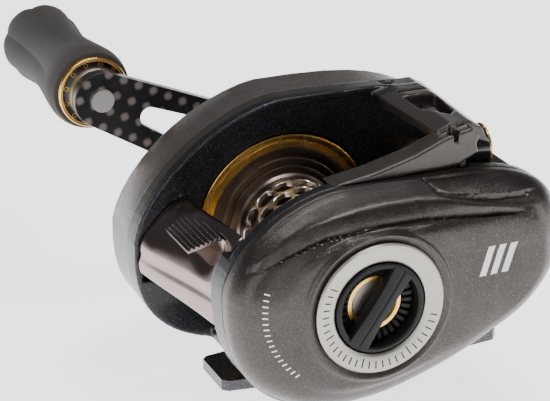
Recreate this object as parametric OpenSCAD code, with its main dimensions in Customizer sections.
// Low-profile baitcasting reel with a left-hand handle.
// Origin: middle of the foot's seating face. +X points up the rod towards the tip,
// +Y points towards the handle, +Z points away from the rod. Millimetres.

/* [Spool] */
// Diameter of the two spool flanges
flange_d = 36; // [34:0.1:36.2]
// Width over the two flanges
spool_w = 28.2; // [27:0.1:28.4]
// Thickness of a flange at its rim
flange_t = 1.4; // [1:0.1:1.6]
// Outer diameter of the perforated drum
drum_d = 20; // [16:0.5:21]
// Height of the spool axis above the foot's seating face
spool_z = 24; // [24:0.1:26]
// Diameter of the spool shaft
spool_shaft_d = 3; // [2.5:0.1:3]

/* [Palm side] */
// Outer face of the frame's palm-side wall
seam_y = -18.5; // [-19:0.1:-18.5]
// Outermost face of the palm side plate
palm_face_y = -30; // [-31:0.1:-29.5]
// Outer diameter of the graduated ring
bezel_d = 25; // [22:0.1:26]
// Diameter of the brake knob
knob_well_d = 17.2; // [14:0.1:18]
// Bore of the palm-side wall, through which the spool comes out
spool_port_d = 37; // [36.8:0.1:37.2]

/* [Handle side] */
// Inner face of the frame's handle-side wall
far_in_y = 12.5; // [12.3:0.1:12.7]
// Outer face of the frame's handle-side wall
far_out_y = 17.5; // [17:0.1:18]
// Outermost face of the gear cover's dome
cover_face_y = 33; // [32.5:0.1:34]
// Diameter of the cast control cap
tension_d = 15; // [13:0.1:15.4]

/* [Gears] */
// Module of the main pair
main_module = 0.625; // [0.625:0.001:0.626]
// Teeth on the main gear
main_teeth = 48; // [48:1:48]
// Teeth on the pinion
pinion_teeth = 8; // [8:1:8]
// Module of the level-wind pair
wind_module = 0.7; // [0.7:0.001:0.701]
// Teeth on the level-wind drive gear
wind_drive_teeth = 32; // [32:1:32]
// Teeth on the worm gear
worm_teeth = 20; // [20:1:20]
// Direction from the spool axis to the drive shaft
drive_angle = -16; // [-17:1:-15]
// Direction from the drive shaft to the worm shaft
worm_angle = 52; // [50:1:53]

/* [Handle] */
// Distance from the drive shaft to each knob pin
arm_r = 44.5; // [40:0.5:48]
// Rest direction of the handle arm, from the drive shaft to the first knob
arm_angle = 153.5; // [150:0.5:156]
// Near face of the handle arm
arm_y = 53; // [52.5:0.1:54]
// Thickness of the handle arm
arm_t = 2.4; // [2:0.1:2.6]
// Largest radius of a knob grip
grip_r = 8.8; // [7.5:0.1:9]
// Length of a knob grip
grip_l = 39.5; // [32:0.5:42]
// Radius of the star drag's tips
star_r = 22; // [18:0.5:23]

/* [Foot] */
// Length of the foot along the rod
foot_l = 58; // [54:1:60]
// Width of the foot's middle
foot_w = 15.2; // [13:0.1:16]
// Width of the foot's ends
foot_end_w = 11.6; // [10:0.1:13]
// Thickness of the foot
foot_t = 2.2; // [2:0.1:2.4]

/* [Hidden] */
$fn = 72;

eps = 0.01;
slack = 0.05;                 // radial clearance of a running fit
part_gap = 0.3;               // clearance between parts that move past each other

// Axes, as [x, z]
drive_dist = (main_teeth + pinion_teeth) * main_module / 2;
drive_pos = [drive_dist * cos(drive_angle), spool_z + drive_dist * sin(drive_angle)];
worm_dist = (wind_drive_teeth + worm_teeth) * wind_module / 2;
worm_pos = drive_pos + worm_dist * [cos(worm_angle), sin(worm_angle)];
rod_pos = worm_pos + [3.2, -6.6];

// Side outlines: centre x, centre z, then reach to the rear, front, top and bottom,
// then the roundness of the front-top, rear-top, rear-bottom and front-bottom quarters
palm_egg = [-3, spool_z + 2, 22.7, 43, 17.5, 24.6, 4.5, 1.7, 2.4, 1.65];
far_egg = [0, spool_z, 31, 39, 25.5, 22.8, 3.2, 1.6, 2.8, 3];

palm_wall_t = 2.6;            // thin top rim of the palm-side wall
palm_in_y = -12.6;            // inner end of the palm-side wall's thick rear part
port_r = spool_port_d / 2;
flange_r = flange_d / 2;
drum_r = drum_d / 2;
shaft_r = spool_shaft_d / 2;
spool_half = spool_w / 2;
pocket_y = far_in_y + 2.1;    // floor of the pocket that hides the far flange
floor_top_z = 4.2;            // top of the frame's floor
cowl_t = 2.2;                 // thickness of the front cowl
cowl_top_z = spool_z + 13.5;
pedestal_w = 11;

pinion_y = [18.4, 28.4];      // pinion, from its spool end to its outer end
groove_y = [26, 27.6];        // yoke groove in the pinion
throw_y = 1.6;                // travel of the yoke when the clutch opens
bar_throw = 4;                // travel of the thumb bar
cam_arm_x = [-28.9, -27];     // arm of the clutch cam, under the thumb bar's end
cam_arm_z = [21, 25.3];
cam_y = far_out_y + 0.4;      // clutch cam plate
cam_t = 1.2;
ramp_x = [-9.6, -6.6];        // ramp on the cam plate
ramp_z = spool_z;             // foot of the ramp with the thumb bar up
main_y = [20.8, 24.6];        // main gear
wash_y = [23.4, 24.2, 25.2];  // drag washer, then pressure plate, inside the main gear
sleeve_y = [25.6, 34.2];      // sleeve inside the one-way bearing
oneway_y = [27.2, 32.6];
star_hub_y = [37.2, 48.6];
star_arm_y = [43.4, 46];
shaft_y = [15.2, 58.6];       // drive shaft
drive_shaft_r = 2.6;

worm_r = 2.4;
worm_gear_y = [18.2, 19.8];
guide_rest_y = -6.5;          // where the line guide stands at rest
guide_w = 8.4;
barrel_z = worm_pos[1] + 8.6; // axis of the line guide's barrel
barrel_r = 4.2;
eye_r = 3.05;                 // radius of the hole that the line runs through
barrel_x = [worm_pos[0] - 3.6, worm_pos[0] + 3.6];

grip_y = arm_y + arm_t + 4;   // near end of a grip
hood_y = [seam_y, -13.4, 12.5, far_out_y];

// ---------- helpers ----------
module rod(r, y0, y1, r2 = -1)
    translate([0, y0, 0]) rotate([-90, 0, 0]) cylinder(r1 = r, r2 = r2 < 0 ? r : r2, h = y1 - y0);

module tube(r, bore, y0, y1) difference() {
    rod(r, y0, y1);
    rod(bore, y0 - 1, y1 + 1);
}

// Extrudes an X-Z outline from y0 to y1
module slab(y0, y1) translate([0, y1, 0]) rotate([90, 0, 0]) linear_extrude(y1 - y0) children();

module at(p) translate([p[0], 0, p[1]]) children();
module on_spool() translate([0, 0, spool_z]) children();
module on_drive() at(drive_pos) children();
module on_worm() at(worm_pos) children();
module at_grip(side) on_drive() rotate([0, -arm_angle, 0]) translate([side * arm_r, 0, 0]) children();

function quarter(c, s) = c >= 0 ? (s >= 0 ? 0 : 3) : (s >= 0 ? 1 : 2);
function egg_point(e, a, g) =
    let (c = cos(a), s = sin(a), p = e[6 + quarter(c, s)],
         rx = (c >= 0 ? e[3] : e[2]) + g, rz = (s >= 0 ? e[4] : e[5]) + g)
    [e[0] + sign(c) * rx * pow(abs(c), 2 / p), e[1] + sign(s) * rz * pow(abs(s), 2 / p)];

// Side outline, grown by g on every side
module egg(e, g = 0, n = 72) polygon([for (i = [0:n - 1]) egg_point(e, 360 * (i + 0.5) / n, g)]);

// Straight-sided teeth: addendum and dedendum in modules, widths in pitches
function tooth(r, m, add, ded, tip, mid, root) =
    [[r - ded * m, -root], [r, -mid], [r + add * m, -tip], [r + add * m, tip], [r, mid], [r - ded * m,
        root]];
module gear_outline(n, m, wheel, phase = 0) {
    profile = wheel ? tooth(n * m / 2, m, 0.7, 1.1, 0.25, 0.4, 0.5)
                    : tooth(n * m / 2, m, 0.8, 1, 0.25, 0.4, 0.42);
    polygon([for (i = [0:n - 1], t = profile)
        let (a = 360 / n * (i + t[1] / 2) + phase) t[0] * [cos(a), sin(a)]]);
}

module ball_bearing(ro, ri, y0, y1) {
    tube(ro, ro - 0.7, y0, y1);
    tube(ri + 0.7, ri, y0, y1);
    tube(ro - 0.7, ri + 0.7, y0 + 0.15, y1 - 0.15);
}

// Countersunk screw along +Y from its head at y0
module screw(x, z, y0, y1, head_r, shank_r) at([x, z]) difference() {
    union() {
        rod(head_r, y0, y0 + 1);
        rod(shank_r, y0, y1);
    }
    translate([-0.3, y0 - eps, -head_r * 0.7]) cube([0.6, 0.5, head_r * 1.4]);
    translate([-head_r * 0.7, y0 - eps, -0.3]) cube([head_r * 1.4, 0.5, 0.6]);
}

// ---------- frame ----------
hood_screw_x = 22;
hood_shank_r = 0.8;
hood_head_r = 1.25;
// Y, lower end and head top of each hood screw
hood_screws_at = [[seam_y + palm_wall_t / 2, 38.5, 49.6], [15, 44, 51.8]];
cover_screw_pos = [[-22, 9], [-20.5, 34.5], [35, 22]];
foot_screw_x = [-12, 8, 26];

module front_strip(t) difference() {
    egg(palm_egg, -0.5);
    egg(palm_egg, -0.5 - t);
}

module frame() color("#15171c") difference() {
    union() {
        // palm-side wall: a full-depth rear, bottom and nose, and a thin rim over the port
        slab(seam_y, seam_y + palm_wall_t) egg(palm_egg);
        slab(seam_y, palm_in_y) intersection() {
            egg(palm_egg);
            polygon([[-30, 0], [-30, spool_z + 8], [-20, spool_z + 8], [-14, 14], [20, 12],
                     [31, spool_z], [31, 38], [44, 38], [44, 0]]);
        }
        // handle-side wall
        slab(far_in_y, far_out_y) egg(far_egg);
        // floor, front cowl and front sill between the walls
        translate([-15.5, palm_in_y - eps, foot_t]) cube([38.5, far_in_y - palm_in_y + 2 * eps,
            floor_top_z - foot_t]);
        slab(palm_in_y - eps, far_in_y + eps) intersection() {
            front_strip(cowl_t);
            translate([14, 0]) square([40, cowl_top_z]);
        }
        // pedestal that carries the front of the foot
        slab(-pedestal_w / 2, pedestal_w / 2)
            polygon([[12, foot_t], [31, foot_t], [33.5, 12], [33.5, 16], [24, 12], [16, 6.5], [12,
                floor_top_z]]);
    }
    on_spool() rod(port_r, seam_y - 1, palm_in_y + 1);
    on_spool() rod(port_r, far_in_y - 1, pocket_y);
    on_spool() rod(5, pocket_y - 1, far_out_y + 1);
    on_drive() rod(5, shaft_y[0] - 0.3, far_out_y + 1);
    on_worm() rod(worm_r + 1.1, seam_y + 1, far_out_y + 1);
    at(rod_pos) rod(1, seam_y + 1.5, far_out_y - 1.5);
    // slot for the clutch cam's arm
    translate([cam_arm_x[0] - part_gap, far_in_y - 1, cam_arm_z[0] - bar_throw - part_gap])
        cube([cam_arm_x[1] - cam_arm_x[0] + 2 * part_gap, 8,
            cam_arm_z[1] - cam_arm_z[0] + bar_throw + 2 * part_gap]);
    for (p = cover_screw_pos) at(p) rod(0.85, far_in_y + 1, far_out_y + 1);
    for (x = foot_screw_x) translate([x, 0, 0]) cylinder(r = 1, h = floor_top_z + 2);
    for (s = hood_screws_at) translate([hood_screw_x, s[0], s[1]]) cylinder(r = hood_shank_r, h = 20);
    // the yoke posts stand in the handle-side wall
    for (s = [-1, 1]) yoke_post_at(s) rod(0.8, far_out_y - 2, far_out_y + 1);
}

module foot() color("#1b1d22") difference() {
    linear_extrude(foot_t) polygon([
        [-foot_l / 2 + 8.5, -foot_end_w / 2 + 1], [-foot_l / 2 + 9.5, -foot_end_w / 2],
        [-6, -foot_w / 2], [20, -foot_w / 2], [foot_l / 2 + 7.5, -foot_end_w / 2],
        [foot_l / 2 + 8.5, -foot_end_w / 2 + 1], [foot_l / 2 + 8.5, foot_end_w / 2 - 1],
        [foot_l / 2 + 7.5, foot_end_w / 2], [20, foot_w / 2], [-6, foot_w / 2],
        [-foot_l / 2 + 9.5, foot_end_w / 2], [-foot_l / 2 + 8.5, foot_end_w / 2 - 1]]);
    for (x = foot_screw_x) translate([x, 0, -1]) {
        cylinder(r = 1, h = foot_t + 2);
        cylinder(r = 1.9, h = 2);
    }
}

module foot_screws() color("#9aa0a6") for (x = foot_screw_x) translate([x, 0, 0]) difference() {
    union() {
        translate([0, 0, 0.1]) cylinder(r = 1.85, h = 0.85);
        translate([0, 0, 0.1]) cylinder(r = 0.98, h = floor_top_z - 0.2);
    }
    translate([-1.3, -0.25, 0]) cube([2.6, 0.5, 0.5]);
}

// ---------- hood ----------
hood_palm = [[-9, 41.3], [-3, 43.2], [14, 43.6], [21, 43.9], [25.5, 46], [28.5, 50],
             [26.5, 51.8], [19, 49.8], [12, 47], [4, 44.9], [-4, 43.6]];
hood_bridge = [[18.5, 48.2], [28, 49], [30.2, 47.2], [31, 48.4], [30.2, 50.8], [27.5, 52.4], [22, 52],
    [18, 50.6]];
hood_far = [[-9, 48.2], [0, 49.6], [12, 49.7], [24, 49.2], [28, 48.4], [31, 48.4], [30.2, 50.8],
            [27.5, 52.2], [18, 51.8], [6, 51.3], [-3, 50.2]];

module hood() color("#4b4541") difference() {
    union() {
        slab(hood_y[0], hood_y[1]) polygon(hood_palm);
        slab(hood_y[1] - 3, hood_y[2] + eps) polygon(hood_bridge);
        slab(hood_y[2], hood_y[3]) polygon(hood_far);
    }
    // window over the line guide, and the vent slot beside it
    translate([0, 0, 40]) linear_extrude(20) polygon([[25, -10.5], [27, -8.5], [28.2, 4.5], [20.8, 4.5],
        [20.8, -4]]);
    translate([21.4, 7.4, 40]) cube([7, 1.4, 20]);
    // screw seats, one on each wall
    for (s = hood_screws_at) translate([hood_screw_x, s[0], s[1]]) {
        cylinder(r = hood_shank_r, h = 20);
        translate([0, 0, s[2] - s[1] - 0.6]) cylinder(r = hood_head_r, h = 8);
    }
    // the hood rests on the tops of both walls
    slab(hood_y[0] - 1, hood_y[1] + 1) egg(palm_egg);
    slab(hood_y[2] - 1, hood_y[3] + 1) egg(far_egg);
}

module hood_screws() color("#2a2c30") for (s = hood_screws_at) translate([hood_screw_x, s[0], 0])
    difference() {
    union() {
        translate([0, 0, s[1]]) cylinder(r = hood_shank_r, h = s[2] - s[1] - 0.3);
        translate([0, 0, s[2] - 0.6]) cylinder(r = hood_head_r - slack, h = 0.6);
    }
    translate([0, 0, s[2] - 0.4]) cylinder(r = 0.7, h = 1, $fn = 6);
}

// ---------- palm side plate and brake ----------
module palm_shell(g) hull() {
    slab(seam_y - 2.4, seam_y) egg(palm_egg, g, 48);
    slab(-25.2 + g / 3, seam_y) egg(palm_egg, g - 1.8, 48);
    slab(-28.2 + g / 2, seam_y) egg(palm_egg, g - 5.2, 48);
    on_spool() rod(bezel_d / 2 + 1.4, palm_face_y - g, seam_y, $fn = 48);
}

plate_spigot_r = port_r - part_gap;
well_r = knob_well_d / 2;
grip_bar_angle = 56;

module palm_plate() color("#3d3a39") difference() {
    union() {
        difference() {
            palm_shell(0);
            translate([0, 1, 0]) palm_shell(-1.8);
        }
        // spigot that fills the spool port
        on_spool() tube(plate_spigot_r, plate_spigot_r - 1.8, seam_y - 3, seam_y + 3);
        on_spool() tube(bezel_d / 2 + 1.2, well_r + 0.1, palm_face_y + 0.2, palm_face_y + 6);
        // web that carries the palm bearing
        on_spool() tube(plate_spigot_r - 0.5, 4.1, seam_y - 3, seam_y - 1.8);
        on_spool() tube(5.4, 4.1, seam_y - 3, seam_y + 0.6);
    }
    on_spool() rod(bezel_d / 2 + slack, palm_face_y - 1, palm_face_y + 1.3);
    on_spool() rod(well_r + 0.1, palm_face_y - 1, palm_face_y + 6.2);
    on_spool() rod(4.1, palm_face_y, seam_y + 1);
}

module graduated_ring() color("#c9c5bd") on_spool() difference() {
    tube(bezel_d / 2, well_r + 0.25, palm_face_y - 0.5, palm_face_y + 1.3);
    for (i = [0:16]) rotate([0, 120 + i * 7, 0])
        translate([bezel_d / 2 - 2.6, palm_face_y - 1, -0.1]) cube([1.4, 0.62, 0.2]);
}

module brake_knob() color("#1c1c1e") on_spool() difference() {
    union() {
        tube(well_r, well_r - 1.1, palm_face_y - 0.2, palm_face_y + 5.4);
        tube(well_r - 0.9, 3.2, palm_face_y + 4.2, palm_face_y + 5.4);
        // grip bar across the well
        rotate([0, -grip_bar_angle, 0]) translate([-well_r + 0.6, palm_face_y - 0.8, -1.9])
            cube([2 * well_r - 1.2, 2.8, 3.8]);
    }
    rotate([0, -grip_bar_angle, 0]) translate([-well_r + 2.4, palm_face_y - 1, -0.35])
        cube([2 * well_r - 9, 1, 0.7]);
}

module click_ring() color("#111113") on_spool() difference() {
    tube(well_r - 1.1, 5.4, palm_face_y + 2.2, palm_face_y + 4.2);
    for (i = [0:31]) rotate([0, i * 11.25, 0])
        translate([well_r - 2.2, palm_face_y + 2, -0.16]) cube([0.7, 1.4, 0.32]);
}

module centre_ring() color("#d39a2f") on_spool() tube(5.4, 4.3, palm_face_y + 2.6, palm_face_y + 4.2);

module centre_disc() color("#d8d8d6") on_spool() rod(4.3, palm_face_y + 3, palm_face_y + 4.2);

magnet_count = 8;
carrier_y = seam_y + 0.9;     // spool-side face of the carrier with the brake off
module magnet_carrier() color("#2d2f33") on_spool() difference() {
    tube(14.2, 6, carrier_y - 2.2, carrier_y);
    for (i = [0:magnet_count - 1]) rotate([0, i * 45, 0]) translate([10.4, 0, 0]) rod(2 + slack,
        carrier_y - 1.4, carrier_y + 1);
}

module magnets() color("#b9bcc0") on_spool()
    for (i = [0:magnet_count - 1]) rotate([0, i * 45, 0]) translate([10.4, 0, 0]) rod(2,
        carrier_y - 1.35, carrier_y - 0.05);

module palm_bearing() color("#c2c6ca") on_spool() ball_bearing(4.05, shaft_r + slack, seam_y - 1.6,
    seam_y + 0.5);

// ---------- gear cover ----------
boss_y = cover_face_y + 1.4;

module cover_shell(g) hull() {
    slab(far_out_y, 26) egg(far_egg, g - 0.2, 48);
    slab(far_out_y, 28.5 + g / 3) egg(far_egg, g - 1.6, 48);
    slab(far_out_y, cover_face_y + g) egg(far_egg, g - 8.5, 48);
}

module gear_cover() color("#565250") difference() {
    union() {
        difference() {
            cover_shell(0);
            translate([0, -1, 0]) cover_shell(-1.4);
        }
        on_drive() rod(9.4, cover_face_y - 6, boss_y);
        on_spool() rod(6.6, cover_face_y - 3, boss_y - 0.4);
        on_spool() rod(5.4, cover_face_y - 3, cover_face_y + 4);
        for (p = cover_screw_pos) at(p) rod(2, far_out_y, 27);
    }
    on_drive() rod(6, sleeve_y[0], oneway_y[1]);
    on_drive() rod(4.6, sleeve_y[0] - 2, boss_y + 1);
    on_spool() rod(4.2, cover_face_y - 4, cover_face_y + 5);
    on_spool() rod(5, cover_face_y - 4, cover_face_y - 0.3);
    for (p = cover_screw_pos) at(p) {
        rod(0.85, far_out_y - 1, 40);
        rod(1.9, 25.4, 40);
    }
}

module cover_screws() color("#8d9196") for (p = cover_screw_pos) at(p) difference() {
    union() {
        rod(1.8, 25.5, 26.9);
        rod(0.8, far_in_y + 1.2, 26);
    }
    rod(0.75, 26.2, 27.5, $fn = 6);
}

module tension_knob() color("#2b2b2e") on_spool() difference() {
    union() {
        rod(tension_d / 2, boss_y + 0.3, boss_y + 6.6);
        rod(tension_d / 2, boss_y + 6.6, boss_y + 7.6, tension_d / 2 - 1);
    }
    rod(5.4 + slack, boss_y, boss_y + 4.4);
    for (i = [0:23]) rotate([0, i * 15, 0]) translate([tension_d / 2, boss_y, 0]) rod(0.45, 0, 5.6,
        $fn = 16);
}

module tension_shim() color("#c58b4a") on_spool() rod(3.8, cover_face_y + 1.4, cover_face_y + 4.4);

module far_bearing() color("#c2c6ca") on_spool()
    ball_bearing(5, shaft_r + slack, cover_face_y - 2.6, cover_face_y - 0.3);

// ---------- thumb bar and clutch ----------
// Thumb bar section at the handle side and at the palm side, where it sits further forward
bar_far = [[-20.2, 33.6], [-24, 32.2], [-29.6, 26.4], [-31, 22.4], [-30.4, 18.8], [-28.4, 18.4], [-24.6,
    24.6], [-20.4, 29]];
bar_palm = [[-18.4, 34.2], [-20.6, 32.6], [-23.6, 27.6], [-25, 22.4], [-24.8, 17.2], [-23, 17.2], [-22,
    24.6], [-19.6, 30]];

module thumb_bar() color("#8b7a78") difference() {
    hull() {
        slab(far_in_y - part_gap - 2, far_in_y - part_gap) polygon(bar_far);
        slab(palm_in_y + part_gap, palm_in_y + part_gap + 2) polygon(bar_palm);
    }
    // clearance from the spool, with the bar up and with it pressed down
    on_spool() rod(flange_r + 1.6, palm_in_y - 1, far_in_y + 1);
    on_spool() translate([0, 0, bar_throw]) rod(flange_r + part_gap, palm_in_y - 1, far_in_y + 1);
    on_thumb_pad() thumb_pad_block(0.05);
}

// The ridged pad lies in the bar's top face
module on_thumb_pad() translate([-23.9, 0, 30.6]) rotate([0, -24, 0]) children();
module thumb_pad_block(g) linear_extrude(4)
    polygon([[3 + g, -7.6 - g], [3 + g, 7.6 + g], [-3.4 - g, 5.4 + g], [-3.4 - g, -5.4 - g]]);

module thumb_pad() color("#7c6d6b") on_thumb_pad() difference() {
    intersection() {
        thumb_pad_block(0);
        translate([-6, -9, 0]) cube([12, 18, 0.9]);
    }
    for (i = [-3:3]) translate([i * 0.9 - 0.4, -9, 0.55]) cube([0.4, 18, 1]);
}

module clutch_cam() color("#a8adb3") union() {
    // arm from the thumb bar through the wall's slot
    translate([cam_arm_x[0], far_in_y - part_gap, cam_arm_z[0]])
        cube([cam_arm_x[1] - cam_arm_x[0], cam_y - far_in_y + part_gap + eps, cam_arm_z[1] - cam_arm_z[0]]);
    // plate inside the gear cover
    slab(cam_y, cam_y + cam_t) polygon([
        [cam_arm_x[0] + 0.4, cam_arm_z[0]], [cam_arm_x[1] + 0.6, spool_z - 6], [ramp_x[1], spool_z - 6],
        [ramp_x[1], spool_z + 6], [cam_arm_x[1] + 3, spool_z + 6], [cam_arm_x[0] + 0.4, cam_arm_z[1]]]);
    // ramp that lifts the yoke as the plate moves down
    ramp_wedge(ramp_x, [ramp_z, ramp_z + 6], cam_y + cam_t - eps, 0);
}

// Wedge between y0 and the ramp's face, raised by g
module ramp_wedge(x, z, y0, g) translate([x[0], 0, 0]) rotate([90, 0, 90]) linear_extrude(x[1] - x[0])
    polygon([[y0, z[0]], [ramp_face_y(z[0]) + g, z[0]], [ramp_face_y(z[1]) + g, z[1]], [y0, z[1]]]);
function ramp_face_y(z) = cam_y + cam_t + (z - ramp_z) * throw_y / bar_throw;

function yoke_dir() = [sin(-drive_angle), cos(drive_angle)];
module yoke_post_at(s) at([0, spool_z] + s * 10.2 * yoke_dir()) children();

module clutch_yoke() color("#d9d9d4") difference() {
    union() {
        slab(groove_y[0] + 0.2, groove_y[1] - 0.2) yoke_outline();
        // foot that rides on the cam's ramp
        ramp_wedge([ramp_x[0] + 0.3, ramp_x[1] - 0.3], [ramp_z + 0.2, ramp_z + 1.8], groove_y[1] - 0.4,
            0.1);
    }
    for (s = [-1, 1]) yoke_post_at(s) rod(0.8 + slack, 20, 30);
}
module yoke_outline() {
    difference() {
        union() {
            for (s = [-1, 1]) translate([0, spool_z] + s * 10.2 * yoke_dir()) circle(2.4);
            translate([0, spool_z]) rotate(drive_angle) translate([-6.4, -10.2]) square([6.4, 20.4]);
        }
        translate([0, spool_z]) circle(2.1);
        translate([0, spool_z]) rotate(drive_angle) translate([0, -2.1]) square([8, 4.2]);
    }
    translate([ramp_x[0] + 0.3, ramp_z - 1.4]) square([4, 4]);
}

module yoke_posts() color("#c9ccd0") for (s = [-1, 1]) yoke_post_at(s) union() {
    rod(0.8, far_out_y - 1.9, 30.4);
    rod(1.1, far_out_y, far_out_y + 0.4);
}

// Light coil springs that push the yoke back to the frame
module yoke_springs() color("#d0b070") for (s = [-1, 1], i = [0:3])
    yoke_post_at(s) translate([0, 28.05 + i * 0.66, 0]) rotate([-90, 0, 0])
        rotate_extrude($fn = 24) translate([1.35, 0]) circle(0.22, $fn = 16);

// ---------- spool ----------
module spool_hex_row(y, turn) for (i = [0:13]) rotate([0, (i + turn) * 360 / 14, 0])
    translate([drum_r - 3, y, 0]) rotate([0, 90, 0]) rotate(30) cylinder(r = 2, h = 6, $fn = 6);

module spool() color("#8f8a82") on_spool() difference() {
    union() {
        tube(drum_r, drum_r - 1, -spool_half + 1, spool_half - 1);
        for (m = [0, 1]) mirror([0, m, 0]) {
            // stepped web between the drum and the rim
            tube(flange_r - 2.4, drum_r - 1, -spool_half, -spool_half + flange_t - 0.3);
            tube(13.4, drum_r - 1, -spool_half + 0.8, -spool_half + flange_t + 0.3);
            tube(11.8, drum_r - 1, -spool_half + 0.8, -spool_half + flange_t + 0.9);
        }
        // web from the drum to the shaft
        tube(drum_r - 0.5, shaft_r, -1, 1);
        tube(3.2, shaft_r, -8, 8);
    }
    for (r = [0:4]) spool_hex_row((r - 2) * 3.9, r % 2 / 2);
}

module spool_rims() color("#d6a13a") on_spool() for (m = [0, 1]) mirror([0, m, 0]) {
    tube(flange_r, flange_r - 2.4, -spool_half, -spool_half + flange_t);
    difference() {
        rod(flange_r - 0.4, -spool_half + flange_t - eps, -spool_half + flange_t + 0.5, flange_r - 0.9);
        rod(flange_r - 2.2, -spool_half + flange_t - 1, -spool_half + flange_t + 1);
    }
}

shaft_end_y = cover_face_y + 1.2;
pin_y = pinion_y[0] + 0.6;
module spool_shaft() color("#d4d6d8") on_spool() {
    rod(shaft_r, seam_y - 2, shaft_end_y);
}

module clutch_pin() color("#b5b8bb") on_spool() rotate([0, -drive_angle, 0]) difference() {
    translate([0, pin_y, -2.3]) cylinder(r = 0.5, h = 4.6);
    rod(shaft_r, 10, 30);
}

module pinion() color("#c79a3b") on_spool() difference() {
    union() {
        slab(pinion_y[0], groove_y[0]) gear_outline(pinion_teeth, main_module, false,
            drive_angle + 180 / pinion_teeth);
        rod(1.95, groove_y[0] - eps, groove_y[1] + eps);
        rod(2.6, groove_y[1], pinion_y[1]);
    }
    rod(shaft_r + slack, 10, 40);
    // slot that takes the clutch pin while the pinion is engaged
    rotate([0, -drive_angle, 0]) translate([-0.6, pinion_y[0] - 1, -4]) cube([1.2, 2.4, 8]);
}

module pinion_bearing() color("#c2c6ca") on_spool() ball_bearing(5, shaft_r + slack + 0.3,
    pocket_y + 0.1, far_out_y - 0.2);

// ---------- drive train ----------
module drive_shaft() color("#cfd1d3") on_drive() difference() {
    union() {
        rod(drive_shaft_r, shaft_y[0], shaft_y[1]);
        rod(3.6, far_out_y + 0.2, far_out_y + 0.6);
    }
    rod(0.9, shaft_y[1] - 5, shaft_y[1] + 1);
}

module shaft_bearing() color("#c2c6ca") on_drive() ball_bearing(5, drive_shaft_r + slack,
    shaft_y[0] - 0.2, far_out_y - 0.1);

module wind_drive_gear() color("#e6e2d6") on_drive() difference() {
    slab(worm_gear_y[0], worm_gear_y[1] - 0.1) gear_outline(wind_drive_teeth, wind_module, true,
        worm_angle);
    rod(drive_shaft_r, 10, 30);
}

module ratchet() color("#a2a7ac") on_drive() difference() {
    slab(worm_gear_y[1], main_y[0] - 0.2)
        polygon([for (i = [0:11]) each [6.4 * [cos(i * 30), sin(i * 30)], 8.4 * [cos(i * 30 + 24),
            sin(i * 30 + 24)],
                                        8.4 * [cos(i * 30 + 28), sin(i * 30 + 28)]]]);
    rod(drive_shaft_r, 10, 30);
}

module main_gear() color("#d0a552") on_drive() difference() {
    slab(main_y[0], main_y[1]) gear_outline(main_teeth, main_module, true, drive_angle + 180);
    rod(drive_shaft_r + slack, 10, 40);
    rod(11.6, wash_y[0], 40);
    for (i = [0:5]) rotate([0, i * 60, 0]) translate([7.6, 0, 0]) rod(2, 10, 40);
}

module drag_washer() color("#26282b") on_drive() tube(11.4, drive_shaft_r + 0.5, wash_y[0], wash_y[1]);

module pressure_plate() color("#bfc3c7") on_drive() tube(11, drive_shaft_r + slack, wash_y[1], wash_y[2]);

module shaft_sleeve() color("#b9bdc1") on_drive() tube(3.9, drive_shaft_r, wash_y[2] + 0.1, sleeve_y[1]);

module one_way_bearing() color("#8f959b") on_drive() difference() {
    tube(6, 3.9 + slack, oneway_y[0], oneway_y[1]);
    for (i = [0:9]) rotate([0, i * 36, 0]) translate([4.7, 0, 0]) rod(0.5, oneway_y[0] - 1,
        oneway_y[0] + 1, $fn = 24);
}

module spring_washers() color("#c2c5c8") on_drive() {
    tube(4.4, drive_shaft_r, sleeve_y[1] + 0.4, sleeve_y[1] + 1.1);
    tube(4.4, drive_shaft_r, sleeve_y[1] + 1.4, sleeve_y[1] + 2.1);
    tube(3.4, drive_shaft_r, sleeve_y[1] + 0.1, sleeve_y[1] + 2.6);
}

module star_drag() color("#1a1b1e") on_drive() difference() {
    union() {
        rod(6.4, star_hub_y[0], star_hub_y[1]);
        rod(7.6, star_arm_y[0] - 1.4, star_arm_y[1] + 0.4);
        for (i = [0:4]) rotate([0, -(53.4 + i * 72), 0]) hull() {
            translate([4, star_arm_y[0], -3.6]) cube([1, star_arm_y[1] - star_arm_y[0], 7.2]);
            translate([star_r - 6, star_arm_y[0] + 1.2, -2.2]) cube([1, 2.4, 4.4]);
            translate([star_r - 1, star_arm_y[0] + 4, -1.4]) cube([1, 2.4, 2.8]);
        }
    }
    rod(drive_shaft_r + slack, 30, 60);
    rod(5.2, 48, 50);
}

// ---------- handle ----------
arm_end_r = 5.8;
arm_mid = 8.2;
slot_u = [15.5, 33];
slot_v = [4, 2.1];

module handle_arm() color("#202226") on_drive() difference() {
    slab(arm_y, arm_y + arm_t) rotate(arm_angle) difference() {
        union() {
            polygon([[-arm_r, -arm_end_r], [-14, -arm_mid], [14, -arm_mid], [arm_r, -arm_end_r],
                     [arm_r, arm_end_r], [14, arm_mid], [-14, arm_mid], [-arm_r, arm_end_r]]);
            for (s = [-1, 1]) translate([s * arm_r, 0]) circle(arm_end_r);
        }
        for (s = [-1, 1]) {
            translate([s * slot_u[1], 0]) circle(slot_v[1]);
            translate([s * slot_u[0], 0]) circle(slot_v[0]);
            polygon(s * [[slot_u[1], -slot_v[1]], [slot_u[1], slot_v[1]], [slot_u[0], slot_v[0]],
                [slot_u[0], -slot_v[0]]]);
        }
    }
    rod(drive_shaft_r, arm_y - 1, arm_y + 5);
    for (s = [-1, 1]) rotate([0, -arm_angle, 0]) translate([s * arm_r, 0, 0]) rod(1.9, arm_y - 1,
        arm_y + 5);
}

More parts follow.
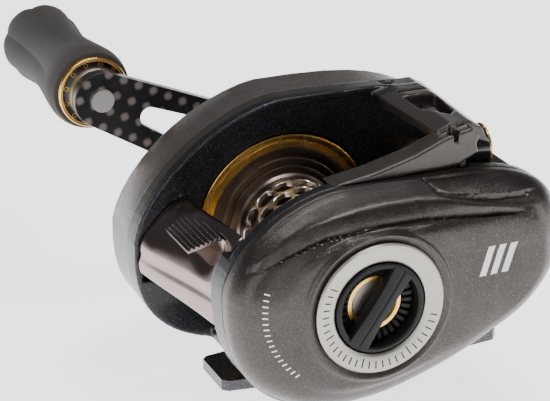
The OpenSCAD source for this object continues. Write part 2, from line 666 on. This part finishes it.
module handle_nut() color("#c8cacc") on_drive() difference() {
    union() {
        slab(arm_y + arm_t, arm_y + arm_t + 3.4) circle(5, $fn = 6);
        // spacer between the star and the arm
        rod(4, star_hub_y[1] + 0.3, arm_y);
    }
    rod(drive_shaft_r, 40, 70);
}

module nut_retainer() color("#2b2d31") on_drive() difference() {
    union() {
        slab(arm_y + arm_t + 3.4, arm_y + arm_t + 5.2) {
            circle(6.2);
            rotate(arm_angle) translate([0, -3.4]) square([10.4, 6.8]);
        }
        rotate([0, -arm_angle, 0]) translate([8.4, 0, 0]) rod(1.6, arm_y + arm_t, arm_y + arm_t + 6);
    }
    rod(drive_shaft_r + slack, 40, 70);
}

pin_r = 1.9;
module knob_pins() color("#d5d7d9") for (s = [-1, 1]) at_grip(s) {
    rod(2.4, arm_y - 0.8, arm_y);
    rod(pin_r, arm_y, grip_y + grip_l - 2.2);
    rod(2.6, arm_y + arm_t, arm_y + arm_t + 0.3);
}

// Grip outline: fullest at both ends, with a waist between
function grip_radius(t) = grip_r - 1.5 * pow(sin(180 * t), 2) - 4 * pow(max(0, t - 0.82) / 0.18, 2.4)
    - 0.7 * pow(max(0, 0.1 - t) / 0.1, 2);
module grip() rotate([-90, 0, 0]) rotate_extrude() difference() {
    polygon(concat([[0, 0]], [for (i = [0:24]) [grip_radius(i / 24), grip_l * i / 24]], [[0, grip_l]]));
    translate([-1, -1]) square([1 + pin_r + slack, grip_l - 0.6]);
    translate([-1, -1]) square([5.6, 3.4]);
}
module grip_a() color("#35312f") at_grip(1) translate([0, grip_y, 0]) grip();
module grip_b() color("#35312f") at_grip(-1) translate([0, grip_y, 0]) grip();

// Gold-edged collar with a ring of small holes, and the sleeve between it and the arm
module grip_collar() difference() {
    union() {
        tube(5.6, pin_r + slack, arm_y + arm_t + 0.5, grip_y - 0.4);
        tube(7.4, pin_r + slack, grip_y - 1.6, grip_y);
        tube(4.4, pin_r + slack, grip_y - eps, grip_y + 2.2);
    }
    for (i = [0:11]) rotate([0, i * 30, 0]) translate([6.5, 0, 0]) rod(0.4, grip_y - 2, grip_y - 0.6,
        $fn = 20);
}
module grip_collar_a() color("#cf9a35") at_grip(1) grip_collar();
module grip_collar_b() color("#cf9a35") at_grip(-1) grip_collar();

// ---------- level wind ----------
worm_y = [seam_y + 1.4, worm_gear_y[1] + 0.4];
module worm_shaft() color("#c9a24a") on_worm() difference() {
    rod(worm_r, worm_y[0], worm_y[1]);
    // the crossed grooves are simplified to a row of rings
    for (i = [0:7]) translate([0, -10.2 + i * 2.8, 0]) tube(worm_r + 1, worm_r - 0.5, 0, 1);
}

module worm_gear() color("#e6e2d6") on_worm() difference() {
    slab(worm_gear_y[0], worm_gear_y[1] - 0.1) gear_outline(worm_teeth, wind_module, false,
        worm_angle + 180 + 180 / worm_teeth);
    rod(worm_r, 10, 30);
}

module worm_bushings() color("#3a3d42") on_worm() {
    tube(worm_r + 1.1, worm_r + slack, seam_y + 1.1, palm_in_y - 0.1);
    tube(worm_r + 1.1, worm_r + slack, far_in_y + 0.1, far_out_y - 0.1);
}

module guide_rod() color("#cfd1d3") at(rod_pos) rod(1, seam_y + 1.6, far_out_y - 1.6);

module line_guide() color("#1f2024") translate([0, guide_rest_y, 0]) difference() {
    union() {
        // carriage around the worm shaft and the guide rod
        slab(-guide_w / 2, guide_w / 2) polygon([
            worm_pos + [-4.2, -4], worm_pos + [-4.2, 4], worm_pos + [-2.6, 6], worm_pos + [2.6, 6],
            worm_pos + [5, 2], rod_pos + [2.4, 0], rod_pos + [1.6, -2.2], rod_pos + [-1.8, -2.2]]);
        translate([barrel_x[0], 0, barrel_z]) rotate([0, 90, 0]) cylinder(r = barrel_r,
            h = barrel_x[1] - barrel_x[0]);
    }
    on_worm() rod(worm_r + slack, -10, 10);
    at(rod_pos) rod(1 + slack, -10, 10);
    translate([barrel_x[0] - 1, 0, barrel_z]) rotate([0, 90, 0]) cylinder(r = eye_r + 0.4, h = 20);
    // pocket for the pawl, from below
    translate([worm_pos[0], 0, 0]) cylinder(r = 1.6 + slack, h = worm_pos[1] - worm_r - 0.2);
    translate([worm_pos[0], 0, 0]) cylinder(r = 1.9, h = worm_pos[1] - 3.4);
}

module guide_ring() color("#d6a13a") translate([0, guide_rest_y, barrel_z]) rotate([0, 90, 0])
    difference() {
    union() {
        translate([0, 0, barrel_x[0] - 0.4]) cylinder(r = eye_r + 0.4, h = barrel_x[1] - barrel_x[0] + 0.8);
        translate([0, 0, barrel_x[1]]) cylinder(r = barrel_r, h = 0.5);
    }
    cylinder(r = eye_r, h = 80);
}

module pawl() color("#d2d4d6") translate([worm_pos[0], guide_rest_y, worm_pos[1] - worm_r]) {
    translate([0, 0, -1.5]) cylinder(r = 1.6, h = 1);
    translate([0, 0, -1]) cylinder(r = 0.9, h = 0.7);
}

module pawl_cap() color("#7a7f85") translate([worm_pos[0], guide_rest_y, 0]) difference() {
    translate([0, 0, worm_pos[1] - worm_r - 2.9]) cylinder(r = 1.58, h = 1.3);
    translate([-1.3, -0.25, worm_pos[1] - worm_r - 3]) cube([2.6, 0.5, 0.5]);
}

frame();
foot();
foot_screws();
hood();
hood_screws();
palm_plate();
graduated_ring();
brake_knob();
click_ring();
centre_ring();
centre_disc();
magnet_carrier();
magnets();
palm_bearing();
gear_cover();
cover_screws();
tension_knob();
tension_shim();
far_bearing();
thumb_bar();
thumb_pad();
clutch_cam();
clutch_yoke();
yoke_posts();
yoke_springs();
spool();
spool_rims();
spool_shaft();
clutch_pin();
pinion();
pinion_bearing();
drive_shaft();
shaft_bearing();
wind_drive_gear();
ratchet();
main_gear();
drag_washer();
pressure_plate();
shaft_sleeve();
one_way_bearing();
spring_washers();
star_drag();
handle_arm();
handle_nut();
nut_retainer();
knob_pins();
grip_a();
grip_b();
grip_collar_a();
grip_collar_b();
worm_shaft();
worm_gear();
worm_bushings();
guide_rod();
line_guide();
guide_ring();
pawl();
pawl_cap();
